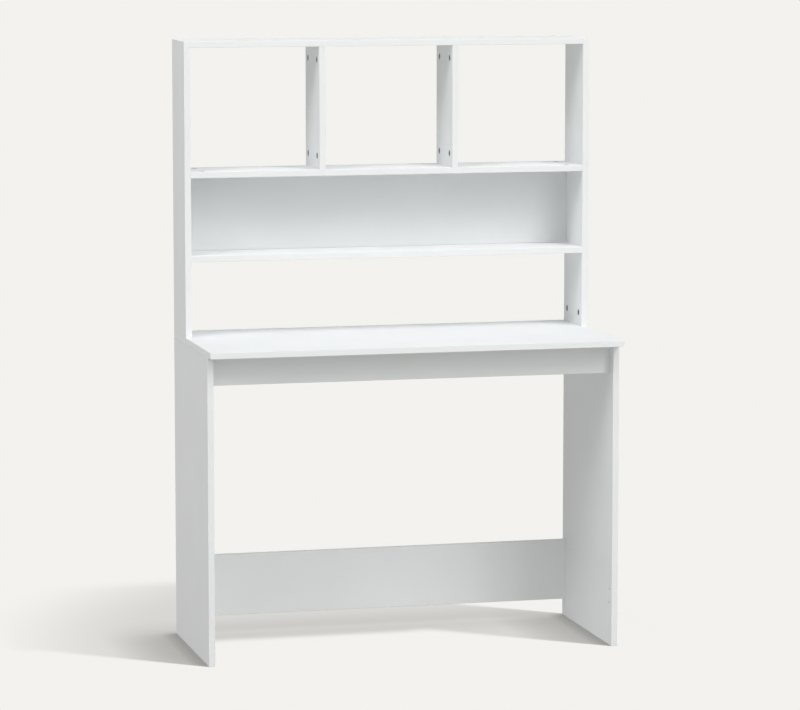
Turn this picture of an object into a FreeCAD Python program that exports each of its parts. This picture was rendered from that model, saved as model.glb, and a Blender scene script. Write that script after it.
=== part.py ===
import FreeCAD, Part
import os
import re
import Sketcher
from FreeCAD import Placement, Rotation, Vector

# Student desk with an open hutch: thirteen melamine-faced boards held by cam locks, cam bolts and dowels.
# Frame: origin on the floor under the middle of the desk, +X to the sitter's right, the sitter at -Y, +Z up.

doc = FreeCAD.newDocument("student_desk_with_hutch")

# ---------------------------------------------------------------------------------------------------------
# Driving dimensions, in millimetres
# ---------------------------------------------------------------------------------------------------------

DIMENSIONS = [
    ("overall_width", 1000, "outer face of one leg to the outer face of the other"),
    ("overall_depth", 450, "front edge of the desktop to the back of the legs"),
    ("overall_height", 1450, "floor to the top of the hutch"),
    ("board_thickness", 15, "every board"),
    ("edge_radius", 0.8, "softened corner of the edge banding"),
    ("desk_height", 745, "floor to the working surface"),
    ("front_overhang", 40, "desktop beyond the front edges of the legs"),
    ("apron_height", 70, "rail under the desktop"),
    ("apron_setback", 25, "front edges of the legs to the front face of the apron"),
    ("stretcher_height", 150, "rail between the legs, near the floor"),
    ("stretcher_rise", 45, "floor to the lower edge of the stretcher"),
    ("stretcher_inset", 20, "back edges of the legs to the middle plane of the stretcher"),
    ("hutch_depth", 150, "sides, top, shelves and dividers of the hutch"),
    ("lower_shelf_rise", 926, "floor to the underside of the lower shelf"),
    ("upper_shelf_rise", 1126, "floor to the underside of the upper shelf"),
    ("back_panel_inset", 10, "back of the hutch to the middle plane of its back panel"),
    ("cam_setback", 32, "end of a board to the middle of its cam lock"),
    ("cam_bore", 15, "diameter of the hole for a cam lock"),
    ("cam_bore_depth", 12.5, "depth of that hole"),
    ("cam_play", 0.3, "difference in diameter between a cam lock and its hole"),
    ("cam_recess", 0.2, "cam lock below the face of its board"),
    ("cam_mouth", 7.6, "width and height of the slot that takes the head of the bolt"),
    ("cam_mouth_reach", 3, "slot beyond the middle of the cam lock"),
    ("cross_length", 8, "screwdriver cross in the cam lock, tip to tip"),
    ("cross_width", 1.6, "arm of that cross"),
    ("cross_depth", 2.4, "depth of that cross"),
    ("bolt_bore", 8, "diameter of the hole for a bolt in the end of a board"),
    ("pilot_bore", 5, "diameter of the hole that the bolt is screwed into"),
    ("pilot_depth", 11, "depth of that hole"),
    ("pilot_spacing", 32, "between the two holes at one end of a rail"),
    ("thread_diameter", 4.8, "screwed end of the bolt"),
    ("collar_diameter", 7.6, "collar that stops the bolt on the face of the board"),
    ("collar_length", 4, "length of that collar"),
    ("shank_diameter", 6, "bolt between collar and neck"),
    ("shank_length", 23, "length of that stretch"),
    ("neck_diameter", 4, "bolt where the cam lock grips it"),
    ("neck_length", 3, "length of that stretch"),
    ("head_diameter", 7, "head that the cam lock pulls on"),
    ("head_length", 3.6, "length of that head"),
    ("dowel_bore", 8, "diameter of the hole for a dowel"),
    ("dowel_play", 0.2, "difference in diameter between a dowel and its hole"),
    ("dowel_length", 30, "whole dowel"),
    ("dowel_socket", 10.5, "dowel in the face of a board"),
    ("dowel_end_gap", 0.5, "free space behind a dowel in the end of a board"),
    ("dowel_chamfer", 1, "both ends of a dowel"),
    ("hutch_row", 27, "edge of a hutch board to its first row of bolts"),
    ("leg_row", 60, "edge of a leg to its first bolt into the desktop"),
    ("leg_dowel_step", 32, "that bolt to the dowel beside it"),
    ("apron_bolt_spread", 500, "between the two bolts from the apron into the desktop"),
    ("back_panel_bolt_spread", 660, "between the two bolts along an edge of the hutch back panel"),
]

sheet = doc.addObject("Spreadsheet::Sheet", "Sizes")
for row, (alias, value, meaning) in enumerate(DIMENSIONS, start=1):
    sheet.set(f"A{row}", alias)
    sheet.set(f"B{row}", str(value))
    sheet.set(f"C{row}", meaning)
    sheet.setAlias(f"B{row}", alias)
doc.recompute()

ALIASES = {alias for alias, _, _ in DIMENSIONS}

# Lengths worked out from the sheet, as expressions
BETWEEN_SIDES = "(overall_width - 2 * board_thickness)"
HALF_WIDTH = "(overall_width / 2)"
HALF_INNER = "(overall_width / 2 - board_thickness)"
BACK = "(overall_depth / 2)"
HALF_BOARD = "(board_thickness / 2)"
LEG_HEIGHT = "(desk_height - board_thickness)"
LEG_DEPTH = "(overall_depth - front_overhang)"
LEG_FRONT = "(front_overhang - overall_depth / 2)"
HUTCH_FRONT = "(overall_depth / 2 - hutch_depth)"
HUTCH_SIDE_HEIGHT = "(overall_height - desk_height)"
LOWER_SHELF_TOP = "(lower_shelf_rise + board_thickness)"
UPPER_SHELF_TOP = "(upper_shelf_rise + board_thickness)"
BACK_PANEL_HEIGHT = f"(upper_shelf_rise - {LOWER_SHELF_TOP})"
DIVIDER_HEIGHT = f"(overall_height - board_thickness - {UPPER_SHELF_TOP})"
BAY_WIDTH = f"(({BETWEEN_SIDES} - 2 * board_thickness) / 3)"
DIVIDER_OFFSET = f"({BAY_WIDTH} / 2 + {HALF_BOARD})"
HUTCH_ROWS = ["hutch_row", "(hutch_depth - hutch_row)"]
HUTCH_MIDDLE = "(hutch_depth / 2)"
LEG_ROWS = ["leg_row", f"({LEG_DEPTH} - leg_row)"]
LEG_DOWEL_ROWS = ["(leg_row + leg_dowel_step)", f"({LEG_DEPTH} - leg_row - leg_dowel_step)"]
STRETCHER_ROWS = ["(stretcher_height / 2 - pilot_spacing / 2)", "(stretcher_height / 2 + pilot_spacing / 2)"]
APRON_BOLT_ROW = "(apron_height / 2 - pilot_spacing / 2)"
APRON_DOWEL_ROW = "(apron_height / 2 + pilot_spacing / 2)"
APRON_PLANE = f"(apron_setback + {HALF_BOARD})"
APRON_TOP_BOLTS = [f"({BETWEEN_SIDES} / 2 {sign} apron_bolt_spread / 2)" for sign in "-+"]
BACK_PANEL_BOLTS = [f"({BETWEEN_SIDES} / 2 {sign} back_panel_bolt_spread / 2)" for sign in "-+"]
DIVIDER_LINES = [f"({BETWEEN_SIDES} / 2 {sign} {DIVIDER_OFFSET})" for sign in "-+"]
DOWEL_BORE_DEPTH = "(dowel_length - dowel_socket + dowel_end_gap)"

SAME_PLACE = 1e-6  # millimetres, for comparing coordinates

# How a board stands: what its own X, Y and Z become
FLAT = Rotation()
TURNED_OVER = Rotation(Vector(1, 0, 0), 180)
UPRIGHT_FACING_LEFT = Rotation(Vector(0, 1, 0), -90)
UPRIGHT_FACING_RIGHT = Rotation(Vector(0, 0, 1), 180) * UPRIGHT_FACING_LEFT
ON_EDGE_FACING_BACK = Rotation(Vector(0, 0, 1), 180) * Rotation(Vector(1, 0, 0), 90)


def on_sheet(expression):
    """The expression with each alias written as a cell of the sheet."""
    return re.sub(r"[a-z_]+", lambda word: f"Sizes.{word[0]}" if word[0] in ALIASES else word[0], expression)


def bind(item, target, expression):
    item.setExpression(target, on_sheet(expression))


def value_of(expression):
    """Present value of an expression, in millimetres."""
    return float(sheet.evalExpression(on_sheet(expression)))


def place(item, corner, turn=FLAT):
    """Turn an object and bind its position to the sheet."""
    item.Placement = Placement(Vector(*[value_of(part) for part in corner]), turn)
    for axis, part in zip("xyz", corner):
        bind(item, f"Placement.Base.{axis}", part)


def add_sketch(body, name, plane, offset="0"):
    """A sketch on one of the body's own origin planes, moved along that plane's normal."""
    sketch = body.newObject("Sketcher::SketchObject", name)
    origin_plane = next(item for item in body.Origin.OriginFeatures if item.Role == plane)
    sketch.AttachmentSupport = [(origin_plane, "")]
    sketch.MapMode = "FlatFace"
    bind(sketch, "AttachmentOffset.Base.z", offset)
    return sketch


def add_rectangle(sketch, left, bottom, width, height):
    """A rectangle whose lower left corner and sides are bound to the sheet."""
    start_x, start_y = value_of(left), value_of(bottom)
    end_x, end_y = start_x + value_of(width), start_y + value_of(height)
    corners = [Vector(start_x, start_y), Vector(end_x, start_y), Vector(end_x, end_y),
               Vector(start_x, end_y)]
    first = sketch.GeometryCount
    for corner, following in zip(corners, corners[1:] + corners[:1]):
        sketch.addGeometry(Part.LineSegment(corner, following))
    for side in range(4):
        sketch.addConstraint(Sketcher.Constraint("Coincident", first + side, 2, first + (side + 1) % 4, 1))
        direction = "Horizontal" if side % 2 == 0 else "Vertical"
        sketch.addConstraint(Sketcher.Constraint(direction, first + side))
    add_size(sketch, ("DistanceX", -1, 1, first, 1), left)
    add_size(sketch, ("DistanceY", -1, 1, first, 1), bottom)
    add_size(sketch, ("DistanceX", first, 1, first, 2), width)
    add_size(sketch, ("DistanceY", first + 1, 1, first + 1, 2), height)


def add_circles(sketch, centres, diameter):
    """Circles of one diameter, each centre bound to the sheet."""
    for number, (across, up) in enumerate(centres):
        centre = Vector(value_of(across), value_of(up))
        sketch.addGeometry(Part.Circle(centre, Vector(0, 0, 1), value_of(diameter) / 2))
        add_size(sketch, ("DistanceX", -1, 1, number, 3), across)
        add_size(sketch, ("DistanceY", -1, 1, number, 3), up)
        if number == 0:
            add_size(sketch, ("Diameter", 0), diameter)
        else:
            sketch.addConstraint(Sketcher.Constraint("Equal", 0, number))


def add_size(sketch, what, expression):
    index = sketch.addConstraint(Sketcher.Constraint(*what, value_of(expression)))
    bind(sketch, f"Constraints[{index}]", expression)


def cut(body, name, sketch, depth, reverse):
    """A pocket, which has to remove material: one that points away from the solid would cut nothing."""
    doc.recompute()
    before = body.Shape.Volume
    pocket = body.newObject("PartDesign::Pocket", name)
    pocket.Profile = sketch
    pocket.Reversed = reverse
    bind(pocket, "Length", depth)
    doc.recompute()
    if body.Shape.Volume >= before:
        raise ValueError(f"{name} cuts nothing")


# ---------------------------------------------------------------------------------------------------------
# Boards
# ---------------------------------------------------------------------------------------------------------

class Board:
    """One board: its own X runs along it, Y across it and Z through it, from a corner of its under face.

    The cam locks always go into the top face. near and far name the ends at X = 0 and X = length,
    front and back the edges at Y = 0 and Y = width.
    """

    all = []

    def __init__(self, label, kit, length, width, butted_ends, corner, turn):
        self.label, self.kit = label, kit
        self.length, self.width = length, width
        self.corner, self.turn = corner, turn
        self.cams, self.bolts, self.dowels = [], [], []
        self.body = doc.addObject("PartDesign::Body", label)
        self.body.Label = label
        outline = add_sketch(self.body, f"{label}_outline", "XY_Plane")
        add_rectangle(outline, "0", "0", length, width)
        pad = self.body.newObject("PartDesign::Pad", f"{label}_pad")
        pad.Profile = outline
        bind(pad, "Length", "board_thickness")
        doc.recompute()
        self.soften(pad, butted_ends)
        Board.all.append(self)

    def soften(self, pad, butted_ends):
        """Round every edge except those around an end that is pushed against another board."""
        end_planes = {"near": 0, "far": value_of(self.length)}

        def lies_on(edge, end):
            return all(abs(vertex.X - end_planes[end]) < SAME_PLACE for vertex in edge.Vertexes)

        names = [f"Edge{number}" for number, edge in enumerate(pad.Shape.Edges, start=1)
                 if not any(lies_on(edge, end) for end in butted_ends)]
        fillet = self.body.newObject("PartDesign::Fillet", f"{self.label}_edges")
        fillet.Base = (pad, names)
        bind(fillet, "Radius", "edge_radius")

    def drill(self, face, centres, diameter, depth):
        """Holes of one size: (X, Y) centres on a face, (Y, Z) on an end, (X, Z) on an edge."""
        plane, offset, reverse = {
            "top": ("XY_Plane", "board_thickness", False),
            "under": ("XY_Plane", "0", True),
            "near": ("YZ_Plane", "0", True),
            "far": ("YZ_Plane", self.length, False),
            "front": ("XZ_Plane", "0", False),
            "back": ("XZ_Plane", f"-{self.width}", True),
        }[face]
        name = f"{self.label}_{face}_{diameter}_{len(self.body.Group)}"
        sketch = add_sketch(self.body, f"{name}_centres", plane, offset)
        add_circles(sketch, centres, diameter)
        cut(self.body, name, sketch, depth, reverse)

    def take_bolts(self, face, centres):
        self.drill(face, centres, "pilot_bore", "pilot_depth")

    def take_dowels(self, face, centres):
        self.drill(face, centres, "dowel_bore", "dowel_socket")

    def join(self, side, bolt_rows, dowel_rows=()):
        """Fasten one end or edge to the board that it meets, with a cam lock for each bolt."""
        along = side in ("near", "far")
        reach = self.length if along else self.width
        starts_here = side in ("near", "front")
        cam_line = "cam_setback" if starts_here else f"({reach} - cam_setback)"
        edge_line = "0" if starts_here else reach
        turn = {"near": 0, "far": 180, "front": 90, "back": 270}[side]

        def on_board(line, row):
            return (line, row) if along else (row, line)

        cam_centres = [on_board(cam_line, row) for row in bolt_rows]
        self.drill("top", cam_centres, "cam_bore", "cam_bore_depth")
        self.drill(side, [(row, HALF_BOARD) for row in bolt_rows], "bolt_bore", "cam_setback")
        if dowel_rows:
            self.drill(side, [(row, HALF_BOARD) for row in dowel_rows], "dowel_bore", DOWEL_BORE_DEPTH)
        self.cams += [((*centre, "board_thickness - cam_bore_depth"), turn) for centre in cam_centres]
        self.bolts += [((*on_board(edge_line, row), HALF_BOARD), turn) for row in bolt_rows]
        self.dowels += [((*on_board(edge_line, row), HALF_BOARD), turn) for row in dowel_rows]

    def stand(self):
        """Put the finished board in its place in the desk."""
        place(self.body, self.corner, self.turn)


def build_desktop():
    board = Board("desktop", "desktop", "overall_width", "overall_depth", [],
                  (f"-{HALF_WIDTH}", f"-{BACK}", LEG_HEIGHT), FLAT)
    over_sides = [HALF_BOARD, f"(overall_width - {HALF_BOARD})"]
    leg_rows = [f"(front_overhang + {row})" for row in LEG_ROWS]
    leg_dowel_rows = [f"(front_overhang + {row})" for row in LEG_DOWEL_ROWS]
    apron_row = f"(front_overhang + {APRON_PLANE})"
    apron_bolts = [(f"(board_thickness + {line})", apron_row) for line in APRON_TOP_BOLTS]
    hutch_rows = [f"(overall_depth - {row})" for row in HUTCH_ROWS]
    board.take_bolts("under", [(x, y) for x in over_sides for y in leg_rows] + apron_bolts)
    board.take_dowels("under", [(x, y) for x in over_sides for y in leg_dowel_rows])
    board.take_bolts("top", [(x, y) for x in over_sides for y in hutch_rows])
    board.take_dowels("top", [(x, f"(overall_depth - {HUTCH_MIDDLE})") for x in over_sides])
    board.stand()


def build_leg(label, kit, corner, turn):
    """Drilled alike at both edges, so that one board serves as the left or the right leg."""
    board = Board(label, kit, LEG_HEIGHT, LEG_DEPTH, ["far"], corner, turn)
    board.join("far", LEG_ROWS, LEG_DOWEL_ROWS)
    stretcher_lines = ["stretcher_inset", f"({LEG_DEPTH} - stretcher_inset)"]
    apron_lines = [APRON_PLANE, f"({LEG_DEPTH} - {APRON_PLANE})"]
    apron_foot = f"({LEG_HEIGHT} - apron_height)"
    stretcher_levels = [f"(stretcher_rise + {row})" for row in STRETCHER_ROWS]
    stretcher_bolts = [(level, line) for level in stretcher_levels for line in stretcher_lines]
    apron_bolts = [(f"({apron_foot} + {APRON_BOLT_ROW})", line) for line in apron_lines]
    board.take_bolts("top", stretcher_bolts + apron_bolts)
    board.take_dowels("top", [(f"({apron_foot} + {APRON_DOWEL_ROW})", line) for line in apron_lines])
    board.stand()


def build_apron():
    corner = (HALF_INNER, f"({LEG_FRONT} + apron_setback)", f"({LEG_HEIGHT} - apron_height)")
    board = Board("front_apron", "apron", BETWEEN_SIDES, "apron_height", ["near", "far"],
                  corner, ON_EDGE_FACING_BACK)
    for end in ("near", "far"):
        board.join(end, [APRON_BOLT_ROW], [APRON_DOWEL_ROW])
    board.join("back", APRON_TOP_BOLTS)
    board.stand()


def build_stretcher():
    corner = (HALF_INNER, f"({BACK} - stretcher_inset - {HALF_BOARD})", "stretcher_rise")
    board = Board("rear_stretcher", "stretcher", BETWEEN_SIDES, "stretcher_height", ["near", "far"],
                  corner, ON_EDGE_FACING_BACK)
    for end in ("near", "far"):
        board.join(end, STRETCHER_ROWS)
    board.stand()


def build_hutch_side(label, kit, corner, turn):
    board = Board(label, kit, HUTCH_SIDE_HEIGHT, "hutch_depth", ["near"], corner, turn)
    board.join("near", HUTCH_ROWS, [HUTCH_MIDDLE])
    levels = [f"({HUTCH_SIDE_HEIGHT} - {HALF_BOARD})",
              f"(upper_shelf_rise + {HALF_BOARD} - desk_height)",
              f"(lower_shelf_rise + {HALF_BOARD} - desk_height)"]
    board.take_bolts("top", [(level, row) for level in levels for row in HUTCH_ROWS])
    board.take_dowels("top", [(level, HUTCH_MIDDLE) for level in levels])
    board.stand()


def build_shelf(label, kit, corner, turn, carries_dividers):
    """Hutch top, upper shelf or lower shelf, with two cam locks near each end."""
    board = Board(label, kit, BETWEEN_SIDES, "hutch_depth", ["near", "far"], corner, turn)
    for end in ("near", "far"):
        board.join(end, HUTCH_ROWS, [HUTCH_MIDDLE])
    if carries_dividers:
        board.take_bolts("top", [(line, row) for line in DIVIDER_LINES for row in HUTCH_ROWS])
        board.take_dowels("top", [(line, HUTCH_MIDDLE) for line in DIVIDER_LINES])
    return board


def take_back_panel(board, row):
    """Holes in the under face of a shelf for the bolts along one edge of the hutch back panel."""
    board.take_bolts("under", [(line, row) for line in BACK_PANEL_BOLTS])


def build_shelves():
    top = build_shelf("hutch_top", "hutch_top", (f"-{HALF_INNER}", BACK, "overall_height"),
                      TURNED_OVER, True)
    upper = build_shelf("upper_shelf", "upper_shelf", (f"-{HALF_INNER}", HUTCH_FRONT, "upper_shelf_rise"),
                        FLAT, True)
    take_back_panel(upper, "(hutch_depth - back_panel_inset)")
    lower = build_shelf("lower_shelf", "lower_shelf", (f"-{HALF_INNER}", BACK, LOWER_SHELF_TOP),
                        TURNED_OVER, False)
    take_back_panel(lower, "back_panel_inset")
    for board in (top, upper, lower):
        board.stand()


def build_back_panel():
    corner = (HALF_INNER, f"({BACK} - back_panel_inset - {HALF_BOARD})", LOWER_SHELF_TOP)
    board = Board("hutch_back_panel", "back_panel", BETWEEN_SIDES, BACK_PANEL_HEIGHT, ["near", "far"],
                  corner, ON_EDGE_FACING_BACK)
    for edge in ("front", "back"):
        board.join(edge, BACK_PANEL_BOLTS)
    board.stand()


def build_divider(label, kit, side):
    corner = (f"({side}{DIVIDER_OFFSET} + {HALF_BOARD})", HUTCH_FRONT, UPPER_SHELF_TOP)
    board = Board(label, kit, DIVIDER_HEIGHT, "hutch_depth", ["near", "far"], corner, UPRIGHT_FACING_LEFT)
    for end in ("near", "far"):
        board.join(end, HUTCH_ROWS, [HUTCH_MIDDLE])
    board.stand()


# ---------------------------------------------------------------------------------------------------------
# Hardware: one pattern of each kind, linked wherever a board needs it
# ---------------------------------------------------------------------------------------------------------

def build_cam_lock():
    """Zinc drum, its middle on the origin, its slot open towards -X, its screwdriver cross on top."""
    body = doc.addObject("PartDesign::Body", "cam_lock_pattern")
    drum_height = "(cam_bore_depth - cam_recess)"
    outline = add_sketch(body, "cam_lock_outline", "XY_Plane")
    add_circles(outline, [("0", "0")], "(cam_bore - cam_play)")
    drum = body.newObject("PartDesign::Pad", "cam_lock_drum")
    drum.Profile = outline
    bind(drum, "Length", drum_height)

    bolt_axis = f"(cam_bore_depth - board_thickness + {HALF_BOARD})"
    mouth = add_sketch(body, "cam_lock_mouth_outline", "XZ_Plane", "-cam_mouth / 2")
    mouth_foot = f"({bolt_axis} - cam_mouth / 2)"
    add_rectangle(mouth, "-cam_bore", mouth_foot, "(cam_bore + cam_mouth_reach)", "cam_mouth")
    cut(body, "cam_lock_mouth", mouth, "cam_mouth", True)

    for name, wide, deep in (("cam_lock_cross_x", "cross_length", "cross_width"),
                             ("cam_lock_cross_y", "cross_width", "cross_length")):
        arm = add_sketch(body, f"{name}_outline", "XY_Plane", drum_height)
        add_rectangle(arm, f"-{wide} / 2", f"-{deep} / 2", wide, deep)
        cut(body, name, arm, "cross_depth", False)
    return body


def build_cam_bolt():
    """Steel bolt along X: screwed end at -X, collar against the board's end at the origin, head at +X."""
    stretches = [
        ("thread", "thread_diameter", "pilot_depth", "-pilot_depth"),
        ("collar", "collar_diameter", "collar_length", "0"),
        ("shank", "shank_diameter", "shank_length", "collar_length"),
        ("neck", "neck_diameter", "neck_length", "(collar_length + shank_length)"),
        ("head", "head_diameter", "head_length", "(collar_length + shank_length + neck_length)"),
    ]
    pieces = []
    for name, diameter, length, start in stretches:
        piece = doc.addObject("Part::Cylinder", f"cam_bolt_{name}")
        bind(piece, "Radius", f"{diameter} / 2")
        bind(piece, "Height", length)
        place(piece, (start, "0", "0"), Rotation(Vector(0, 1, 0), 90))
        pieces.append(piece)
    bolt = doc.addObject("Part::MultiFuse", "cam_bolt_pattern")
    bolt.Shapes = pieces
    bolt.Refine = True
    return bolt


def build_dowel():
    """Beech dowel along X, its short end at -X in the face of the other board."""
    peg = doc.addObject("Part::Cylinder", "dowel_peg")
    bind(peg, "Radius", "(dowel_bore - dowel_play) / 2")
    bind(peg, "Height", "dowel_length")
    place(peg, ("-dowel_socket", "0", "0"), Rotation(Vector(0, 1, 0), 90))
    doc.recompute()
    dowel = doc.addObject("Part::Chamfer", "dowel_pattern")
    dowel.Base = peg
    chamfer = value_of("dowel_chamfer")
    rims = [number for number, edge in enumerate(peg.Shape.Edges, start=1) if edge.Closed]
    dowel.Edges = [(number, chamfer, chamfer) for number in rims]
    return dowel


def build_kit(label, pattern, seats, board):
    """All the hardware of one kind in one board, as separate solids in one node."""
    links = []
    for number, (seat, turn) in enumerate(seats, start=1):
        link = doc.addObject("App::Link", f"{label}_{number}")
        link.LinkedObject = pattern
        place(link, seat, Rotation(Vector(0, 0, 1), turn))
        links.append(link)
    kit = doc.addObject("Part::Compound", label)
    kit.Label = label
    kit.Links = links
    place(kit, board.corner, board.turn)
    return kit


# ---------------------------------------------------------------------------------------------------------
# The desk
# ---------------------------------------------------------------------------------------------------------

LEFT = f"-{HALF_WIDTH}"
RIGHT = HALF_WIDTH

build_desktop()
build_leg("left_leg_panel", "left_leg", (LEFT, BACK, "0"), UPRIGHT_FACING_RIGHT)
build_leg("right_leg_panel", "right_leg", (RIGHT, LEG_FRONT, "0"), UPRIGHT_FACING_LEFT)
build_apron()
build_stretcher()
build_hutch_side("hutch_left_side", "hutch_left", (LEFT, BACK, "desk_height"), UPRIGHT_FACING_RIGHT)
build_hutch_side("hutch_right_side", "hutch_right", (RIGHT, HUTCH_FRONT, "desk_height"), UPRIGHT_FACING_LEFT)
build_shelves()
build_back_panel()
build_divider("left_divider", "left_divider", "-")
build_divider("right_divider", "right_divider", "+")

cam_lock = build_cam_lock()
cam_bolt = build_cam_bolt()
dowel = build_dowel()
doc.recompute()

pieces = [board.body for board in Board.all]
for board in Board.all:
    for name, pattern, seats in (("cam_locks", cam_lock, board.cams),
                                 ("cam_bolts", cam_bolt, board.bolts),
                                 ("dowels", dowel, board.dowels)):
        if seats:
            pieces.append(build_kit(f"{board.kit}_{name}", pattern, seats, board))
doc.recompute()

# ---------------------------------------------------------------------------------------------------------
# Checks and output
# ---------------------------------------------------------------------------------------------------------

for item in doc.Objects:
    if "Invalid" in item.State or "Error" in item.State:
        raise ValueError(f"{item.Label} failed: {item.State}")
for piece in pieces:
    if piece.Shape.isNull() or not piece.Shape.isValid():
        raise ValueError(f"{piece.Label} has no valid shape")

os.makedirs("parts", exist_ok=True)
for piece in pieces:
    piece.Shape.exportStep(f"parts/{piece.Label}.step")
    box = piece.Shape.BoundBox
    print(f"{piece.Label}: {len(piece.Shape.Solids)} solid(s), {box.XLength:.1f} x {box.YLength:.1f} x "
          f"{box.ZLength:.1f} mm, from ({box.XMin:.1f}, {box.YMin:.1f}, {box.ZMin:.1f})")
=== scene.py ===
# %% [markdown]
# # A student desk with a hutch
#
# The real desk is flat-pack furniture: thirteen boards of particleboard faced with white melamine. Two
# legs, a desktop, an apron and a stretcher make the desk. Two sides, a top, two shelves, a back panel and
# two dividers make the hutch that stands on it. Cam locks pull the boards together on steel bolts, and
# beech dowels keep them in line. Nothing on it moves.
#
# The CAD model has every board at its true size, with all of its holes, so the boards are not modelled
# again here. They get their finish, the hardware gets its full shape, and the desk is set up on a pale
# floor in soft studio light.

# %% Load the CAD model
import math

import bmesh
import bpy
from mathutils import Matrix, Vector


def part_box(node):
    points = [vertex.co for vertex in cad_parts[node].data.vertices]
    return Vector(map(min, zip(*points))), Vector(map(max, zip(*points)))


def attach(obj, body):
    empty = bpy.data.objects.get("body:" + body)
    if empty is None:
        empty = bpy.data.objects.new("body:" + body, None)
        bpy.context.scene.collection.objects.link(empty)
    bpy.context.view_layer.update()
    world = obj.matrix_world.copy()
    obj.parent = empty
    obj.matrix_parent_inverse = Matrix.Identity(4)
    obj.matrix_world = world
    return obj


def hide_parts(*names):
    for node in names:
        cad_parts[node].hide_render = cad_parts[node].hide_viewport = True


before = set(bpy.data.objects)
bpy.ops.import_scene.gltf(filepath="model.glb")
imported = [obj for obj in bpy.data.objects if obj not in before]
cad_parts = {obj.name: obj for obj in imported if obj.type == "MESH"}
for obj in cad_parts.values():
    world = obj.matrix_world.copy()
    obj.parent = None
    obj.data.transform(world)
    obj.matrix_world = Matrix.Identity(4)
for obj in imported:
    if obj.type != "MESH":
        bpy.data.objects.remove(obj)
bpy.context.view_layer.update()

MM = 0.001  # furniture is measured in millimetres, Blender in metres


# %% [markdown]
# ## The camera
#
# The desk is seen from about nine metres away, a little from the left and from just above its top,
# through a long lens. From so far away the boards hardly shrink towards the back, which is how furniture
# is shown in a catalogue. The camera tilts down a few degrees instead of shifting its lens, so it can be
# carried round the desk and still have it in the middle.

# %% Camera
SENSOR_WIDTH = 36.0
LENS = 164.67
CAMERA_PLACE = Vector((-2.12766, -8.44528, 1.78531))
CAMERA_YAW = math.radians(14.189)  # turned from straight ahead towards the right
CAMERA_TILT = math.radians(7.114)  # turned down from level

camera = bpy.data.objects.new("camera", bpy.data.cameras.new("camera"))
bpy.context.scene.collection.objects.link(camera)
camera.data.sensor_width = SENSOR_WIDTH
camera.data.lens = LENS
camera.location = CAMERA_PLACE
camera.rotation_euler = (math.pi / 2 - CAMERA_TILT, 0, -CAMERA_YAW)
bpy.context.scene.camera = camera
print("camera", round(camera.location.length, 2), "m from the middle of the floor under the desk")

# %% [markdown]
# ## Colours and nodes
#
# Colours are written as they look on a screen, in hex. Shader sockets want linear light, so one function
# turns the first into the second. Another adds a node to a material, with its settings and its links, so
# that a material reads from top to bottom like a recipe.

# %% Colour and node tools
def linear(hex_colour):
    """The linear RGBA of a colour that is written as #RRGGBB, by the formula of the sRGB standard."""
    channels = [int(hex_colour[place:place + 2], 16) / 255 for place in (1, 3, 5)]
    return (*(c / 12.92 if c <= 0.04045 else ((c + 0.055) / 1.055) ** 2.4 for c in channels), 1.0)


def feed(tree, node, inputs):
    """Give a node its inputs, which are values, sockets or other nodes, each of which gives its result.

    An input is named, or numbered among those in use.
    """
    in_use = [socket for socket in node.inputs if socket.enabled]
    for key, value in inputs.items():
        target = in_use[key] if isinstance(key, int) else next(s for s in in_use if s.name == key)
        if isinstance(value, bpy.types.Node):
            value = next(socket for socket in value.outputs if socket.enabled)
        if isinstance(value, bpy.types.NodeSocket):
            tree.links.new(value, target)
        else:
            target.default_value = value


def add_node(tree, kind, inputs=None, **settings):
    """Add a node with its settings and its inputs."""
    node = tree.nodes.new(kind)
    for name, value in settings.items():
        setattr(node, name, value)
    feed(tree, node, inputs or {})
    return node


print("a middle grey, #808080, is", round(linear("#808080")[0], 3), "in linear light")

# %% [markdown]
# ## World and paper floor
#
# A product is often set on a seamless sweep of pale paper, so that floor and background are one colour
# with no horizon. The world shows that colour to the camera and in reflections. To the desk it gives an
# even light of its own: neutral from above, and from below the warmer light that pale paper sends back up.
#
# The paper itself is a wide disc that is seen but sends out no light. The large lamps that suit the desk
# would leave only a faint blur under it, so the paper gets a small hard lamp of its own. Its colour is part
# painted glow and part lit paper, which add up to the background wherever that lamp reaches it. In the
# lamp's shadow only the painted glow is left, standing in for the light of the softboxes and the world.
# Painted shade, worked out by ambient occlusion, makes it darker in the corners at the feet of the boards,
# and darkest right along them. Further out the paper is painted up to the plain background, so its
# shadow fades away.

# %% World
BACKDROP = linear("#F3F2EE")
LIGHT_FROM_ABOVE = 0.32
LIGHT_FROM_BELOW = 0.54


def seen_directly(tree):
    """1 where a ray comes from the camera or from a reflection, 0 where it carries light to a surface."""
    rays = add_node(tree, "ShaderNodeLightPath").outputs
    seen = add_node(tree, "ShaderNodeMath", {0: rays["Is Camera Ray"], 1: rays["Is Glossy Ray"]},
                    operation="MAXIMUM")
    return add_node(tree, "ShaderNodeMath", {0: seen, 1: rays["Is Transmission Ray"]},
                    operation="MAXIMUM")


world = bpy.data.worlds.new("studio")
world.use_nodes = True
bpy.context.scene.world = world
bpy.context.scene.view_settings.view_transform = "Standard"
tree = world.node_tree
tree.nodes.clear()
way = add_node(tree, "ShaderNodeTexCoord").outputs["Generated"]  # in a world, the way that a ray goes
height = add_node(tree, "ShaderNodeSeparateXYZ", {0: way}).outputs["Z"]
upwards = add_node(tree, "ShaderNodeMath", {0: height, 1: 0.0}, operation="GREATER_THAN")
above = add_node(tree, "ShaderNodeBackground", {"Color": linear("#FFFFFF"), "Strength": LIGHT_FROM_ABOVE})
below = add_node(tree, "ShaderNodeBackground", {"Color": BACKDROP, "Strength": LIGHT_FROM_BELOW})
shown = add_node(tree, "ShaderNodeBackground", {"Color": BACKDROP, "Strength": 1.0})
ambient = add_node(tree, "ShaderNodeMixShader", {0: upwards, 1: below, 2: above})
both = add_node(tree, "ShaderNodeMixShader", {0: seen_directly(tree), 1: ambient, 2: shown})
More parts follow.
